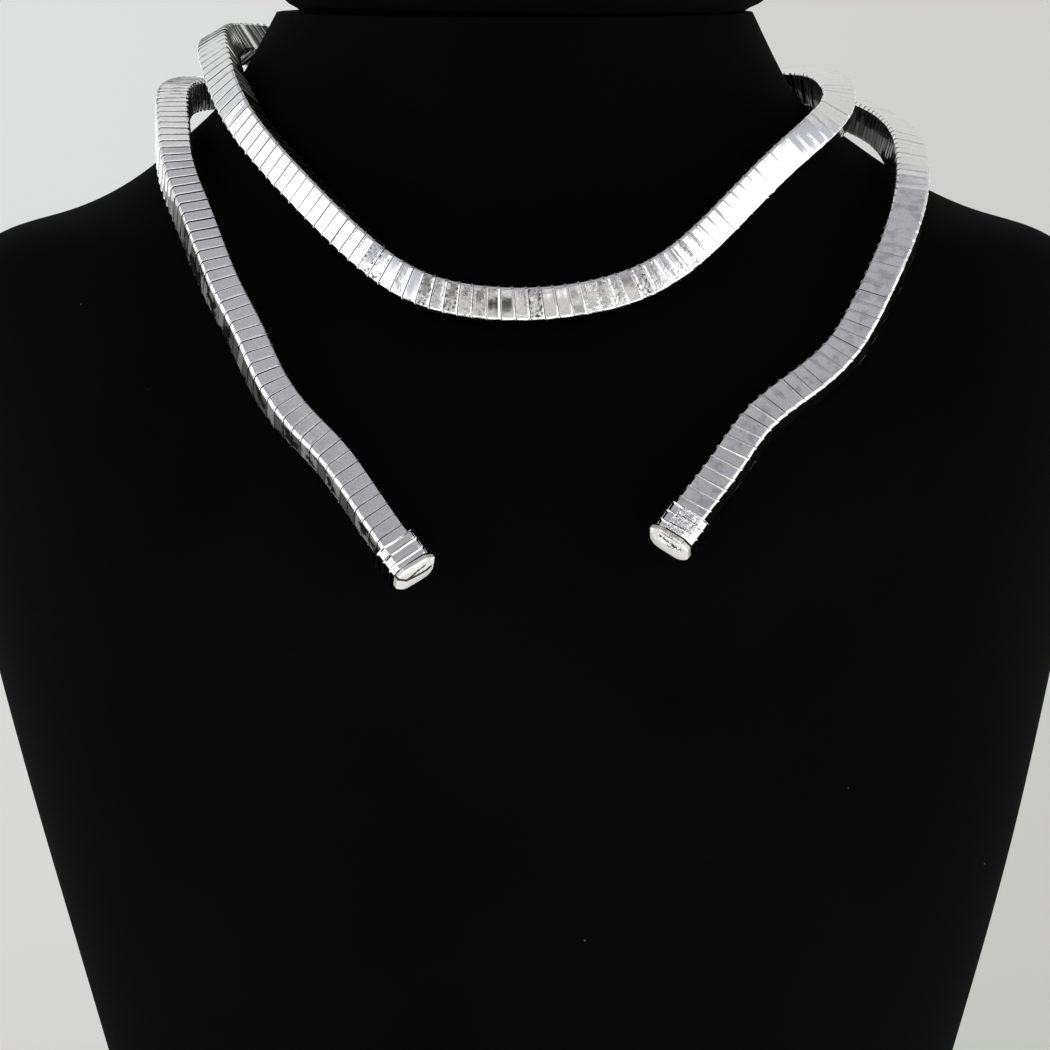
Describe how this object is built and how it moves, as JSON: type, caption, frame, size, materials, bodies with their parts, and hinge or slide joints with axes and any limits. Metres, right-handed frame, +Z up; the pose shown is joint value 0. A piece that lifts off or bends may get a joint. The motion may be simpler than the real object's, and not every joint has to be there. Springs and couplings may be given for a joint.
{
  "type": "wrap necklace on a neck bust",
  "caption": "Flexible square tube wound from metal strip, wrapped one and a half times round the neck of a plain display bust, with a cap on each free end.",
  "frame": {"origin": "middle of the bust's flat base, on the surface it stands on, below the neck", "axes": "+Z up, +Y from the chest to the back of the bust, so the chest faces -Y; +X to the right as the viewer sees the chest"},
  "size_m": [0.2506, 0.169, 0.268],
  "materials": {
    "velvet": "short black velvet over a rigid bust",
    "tube_metal": "polished silver-tone plating on a wound strip",
    "cap_metal": "polished silver-tone plating, slightly hammered"
  },
  "bodies": {
    "root": {"neck_bust": "velvet", "wound_chain_left": "tube_metal", "wound_chain_right": "tube_metal", "left_end_cap": "cap_metal", "right_end_cap": "cap_metal"}
  },
  "joints": []
}
